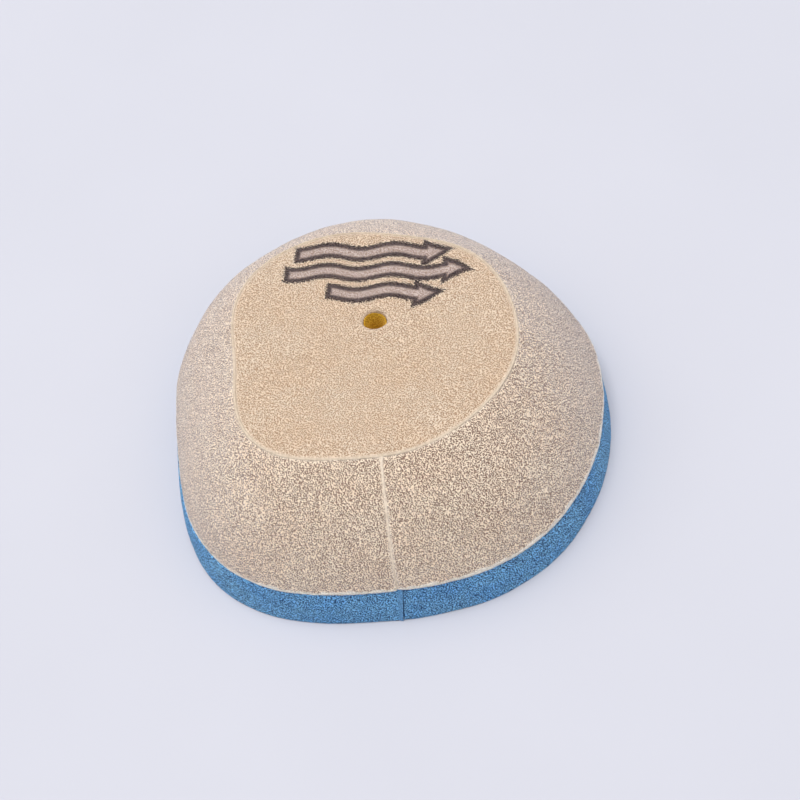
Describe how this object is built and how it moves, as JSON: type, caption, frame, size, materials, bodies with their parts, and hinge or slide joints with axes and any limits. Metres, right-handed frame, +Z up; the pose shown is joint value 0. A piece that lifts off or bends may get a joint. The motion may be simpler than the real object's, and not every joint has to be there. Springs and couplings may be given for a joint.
{
  "type": "air filter",
  "caption": "Dome-shaped air filter element of two foam layers glued on a thick flat seal ring, with a bolt hole in its flat top.",
  "frame": {"origin": "on the ground under the middle of the seal ring's bounding box, bottom face", "axes": "+Z up through the flat top panel, -Y towards the side wall's glued seam, +X to the right of the seam"},
  "size_m": [0.1705, 0.1746, 0.059],
  "materials": {
    "coarse_foam": "dry open-cell polyurethane foam, cream, coarse pores",
    "fine_foam": "dry open-cell polyurethane foam, golden yellow, fine pores",
    "seal_foam": "dense open-cell foam, mid blue, cut edges",
    "foam_glue": "cured flexible glue, pale cream, slightly raised",
    "seal_glue": "cured flexible glue soaked into blue foam"
  },
  "bodies": {
    "root": {"outer_top_panel": "coarse_foam", "outer_side_wall": "coarse_foam", "inner_top_panel": "fine_foam", "inner_side_wall": "fine_foam", "seal_ring": "seal_foam", "outer_rim_glue": "foam_glue", "outer_seam_glue": "foam_glue", "inner_rim_glue": "foam_glue", "inner_seam_glue": "foam_glue", "wall_foot_glue": "foam_glue", "inner_foot_glue": "foam_glue", "seal_joint_glue": "seal_glue"}
  },
  "joints": []
}
